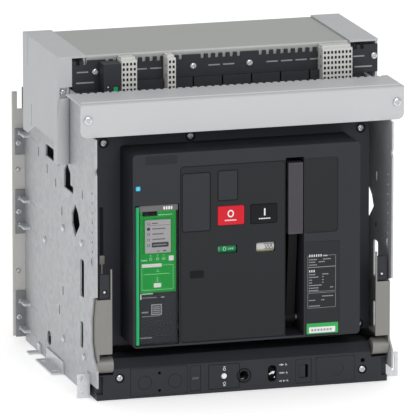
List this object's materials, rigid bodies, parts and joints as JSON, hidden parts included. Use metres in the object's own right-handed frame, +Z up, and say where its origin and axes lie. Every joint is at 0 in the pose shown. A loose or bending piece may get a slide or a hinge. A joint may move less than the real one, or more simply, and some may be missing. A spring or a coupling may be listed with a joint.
{
  "type": "drawout air circuit breaker",
  "caption": "Drawout air circuit breaker in its cradle, with push buttons, charging lever, control unit, racking screw, shutters and rear power terminals.",
  "frame": {"origin": "centre of the footprint, on the floor plane", "axes": "+Z up, +X to the right seen from the front, +Y towards the rear; the breaker's face looks along -Y"},
  "size_m": [0.441, 0.445, 0.439],
  "materials": {
    "galvanised_steel": "satin",
    "zinc_steel": "satin",
    "grey_paint": "satin",
    "panel_paint": "satin",
    "grey_moulding": "matte",
    "black_moulding": "matte",
    "charcoal_moulding": "matte",
    "base_moulding": "matte",
    "terminal_moulding": "matte",
    "thermoset": "matte",
    "shutter_laminate": "satin",
    "zinc_screw": "polished",
    "steel": "satin",
    "copper": "satin",
    "silvered_copper": "satin",
    "white_plastic": "gloss",
    "red_plastic": "gloss",
    "black_button": "gloss",
    "green_panel": "satin",
    "green_strip": "gloss",
    "display_glass": "gloss",
    "clear_cover": "gloss",
    "handle_plastic": "satin",
    "flag_green": "satin",
    "flag_white": "satin",
    "label_black": "satin",
    "chute_board": "matte",
    "sensor_blue": "matte"
  },
  "bodies": {
    "cradle": {"side_plate_left": "galvanised_steel", "side_plate_right": "galvanised_steel", "bottom_tray": "galvanised_steel", "rear_base": "thermoset", "rear_flanges": "zinc_steel", "crossbar": "grey_paint", "top_panel": "panel_paint", "cap_left": "grey_moulding", "cap_right": "grey_moulding", "terminal_rack": "black_moulding", "terminal_blocks": "terminal_moulding", "position_switch_block": "black_moulding", "control_sockets": "black_moulding", "cradle_screws": "zinc_screw", "cradle_rivets": "zinc_screw", "mounting_feet": "galvanised_steel", "racking_base": "base_moulding", "keylock_plate": "base_moulding", "base_blank_plate": "base_moulding", "line_terminals": "copper", "load_terminals": "copper", "rail_guides": "zinc_steel"},
    "rails": {"rail_left": "zinc_steel", "rail_right": "zinc_steel", "rail_catches": "black_moulding"},
    "breaker": {"breaker_side_plates": "steel", "front_frame": "charcoal_moulding", "fascia": "charcoal_moulding", "frame_screws": "zinc_screw", "control_unit": "green_panel", "display": "display_glass", "blank_plates": "charcoal_moulding", "rating_plate": "label_black", "mechanism_plates": "steel", "closing_spring": "steel", "case_front": "thermoset", "case_rear": "thermoset", "arc_chutes": "chute_board", "breaker_bars": "copper", "current_sensors": "sensor_blue", "contact_clusters": "silvered_copper", "control_plugs": "black_moulding"},
    "racking_screw": {"racking_screw": "steel"},
    "racking_carriage": {"racking_carriage": "zinc_steel"},
    "position_pointer": {"position_pointer": "white_plastic"},
    "shutter_upper": {"shutter_upper": "shutter_laminate"},
    "shutter_lower": {"shutter_lower": "shutter_laminate"},
    "release_button": {"release_button": "white_plastic"},
    "padlock_tab": {"padlock_tab": "base_moulding"},
    "crank_handle": {"crank_handle": "charcoal_moulding"},
    "control_cover": {"control_cover": "clear_cover", "cover_hinge": "green_strip"},
    "on_button": {"on_button": "black_button"},
    "off_button": {"off_button": "red_plastic"},
    "contact_flag": {"contact_flag": "flag_green"},
    "spring_flag": {"spring_flag": "flag_white"},
    "charging_handle": {"charging_handle": "handle_plastic"},
    "cam_shaft": {"cam_shaft": "steel"},
    "pole_shaft": {"pole_shaft": "steel"},
    "moving_contacts": {"moving_contacts": "silvered_copper"}
  },
  "joints": [
    {"name": "rail_slide", "type": "slide", "parent": "cradle", "child": "rails", "axis": [0, -1, 0], "range_m": [0, 0.3]},
    {"name": "racking", "type": "slide", "parent": "rails", "child": "breaker", "axis": [0, -1, 0], "range_m": [0, 0.042]},
    {"name": "screw_turn", "type": "hinge", "parent": "cradle", "child": "racking_screw", "pos_m": [0.0016, -0.1935, 0.0207], "axis": [0, -1, 0], "range_deg": [0, 4321]},
    {"name": "carriage_slide", "type": "slide", "parent": "cradle", "child": "racking_carriage", "axis": [0, -1, 0], "range_m": [0, 0.0421]},
    {"name": "pointer_turn", "type": "hinge", "parent": "cradle", "child": "position_pointer", "pos_m": [0.0404, -0.1995, 0.0207], "axis": [0, 1, 0], "range_deg": [0, 44.1]},
    {"name": "shutter_upper_slide", "type": "slide", "parent": "cradle", "child": "shutter_upper", "axis": [0, 0, -1], "range_m": [0, 0.0841]},
    {"name": "shutter_lower_slide", "type": "slide", "parent": "cradle", "child": "shutter_lower", "axis": [0, 0, 1], "range_m": [0, 0.0841]},
    {"name": "release_press", "type": "slide", "parent": "cradle", "child": "release_button", "axis": [0, 1, 0], "range_m": [0, 0.003], "stiffness_N_per_m": 600},
    {"name": "padlock_pull", "type": "slide", "parent": "cradle", "child": "padlock_tab", "axis": [0, -1, 0], "range_m": [0, 0.018]},
    {"name": "crank_pull", "type": "slide", "parent": "cradle", "child": "crank_handle", "axis": [0, -1, 0], "range_m": [0, 0.15]},
    {"name": "cover_swing", "type": "hinge", "parent": "breaker", "child": "control_cover", "pos_m": [-0.1486, -0.2199, 0.168], "axis": [0, 0, -1], "range_deg": [0, 110]},
    {"name": "on_press", "type": "slide", "parent": "breaker", "child": "on_button", "axis": [0, 1, 0], "range_m": [0, 0.004], "stiffness_N_per_m": 900},
    {"name": "off_press", "type": "slide", "parent": "breaker", "child": "off_button", "axis": [0, 1, 0], "range_m": [0, 0.004], "stiffness_N_per_m": 900},
    {"name": "handle_pull", "type": "hinge", "parent": "breaker", "child": "charging_handle", "pos_m": [0.067, -0.1885, 0.092], "axis": [1, 0, 0], "range_deg": [0, 90], "stiffness_Nm_per_rad": 1.2, "springref_deg": -17.19},
    {"name": "cam_turn", "type": "hinge", "parent": "breaker", "child": "cam_shaft", "pos_m": [0, -0.1235, 0.235], "axis": [1, 0, 0], "range_deg": [0, 51.6]},
    {"name": "shaft_turn", "type": "hinge", "parent": "breaker", "child": "pole_shaft", "pos_m": [0, -0.0535, 0.175], "axis": [-1, 0, 0], "range_deg": [0, 40]},
    {"name": "contacts_turn", "type": "hinge", "parent": "breaker", "child": "moving_contacts", "pos_m": [0, 0.0115, 0.14], "axis": [-1, 0, 0], "range_deg": [0, 20.1]},
    {"name": "contact_flag_turn", "type": "hinge", "parent": "breaker", "child": "contact_flag", "pos_m": [-0.0264, -0.2085, 0.1973], "axis": [-1, 0, 0], "range_deg": [0, 60.1]},
    {"name": "spring_flag_turn", "type": "hinge", "parent": "breaker", "child": "spring_flag", "pos_m": [0.02585, -0.2085, 0.197], "axis": [-1, 0, 0], "range_deg": [0, 60]}
  ],
  "couplings": [
    {"joint": "screw_turn", "follows": "racking", "rad_per_m": 1795.2},
    {"joint": "carriage_slide", "follows": "racking", "ratio": 1},
    {"joint": "pointer_turn", "follows": "racking", "rad_per_m": 18.284},
    {"joint": "shutter_upper_slide", "follows": "racking", "ratio": 2},
    {"joint": "shutter_lower_slide", "follows": "racking", "ratio": 2},
    {"joint": "cam_turn", "follows": "handle_pull", "ratio": 0.57143},
    {"joint": "contacts_turn", "follows": "shaft_turn", "ratio": 0.5},
    {"joint": "contact_flag_turn", "follows": "shaft_turn", "ratio": 1.5}
  ]
}
